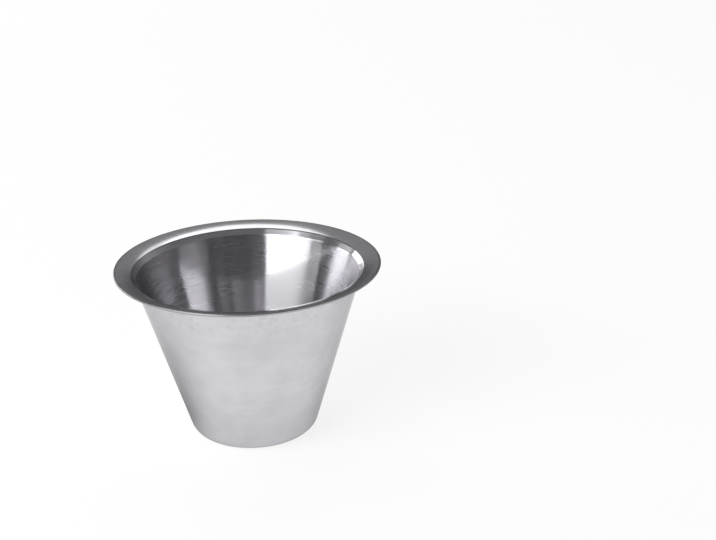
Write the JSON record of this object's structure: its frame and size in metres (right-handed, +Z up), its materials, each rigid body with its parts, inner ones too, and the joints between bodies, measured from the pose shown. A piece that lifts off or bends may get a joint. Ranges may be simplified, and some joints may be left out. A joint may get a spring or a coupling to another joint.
{
  "type": "deep drawn metal cup",
  "caption": "Conical cup deep drawn in one piece from sheet steel, with a flat base, a rounded foot and a wide rim that rises to a deburred edge.",
  "frame": {"origin": "centre of the base, on the surface that the cup stands on", "axes": "+Z up along the cup's axis, from the base to the mouth; the cup is round, so X and Y are free"},
  "size_m": [0.085, 0.085, 0.057],
  "materials": {
    "steel": "fine brushing round the axis inside and out, brighter on the rim"
  },
  "bodies": {
    "root": {"cup": "steel"}
  },
  "joints": []
}
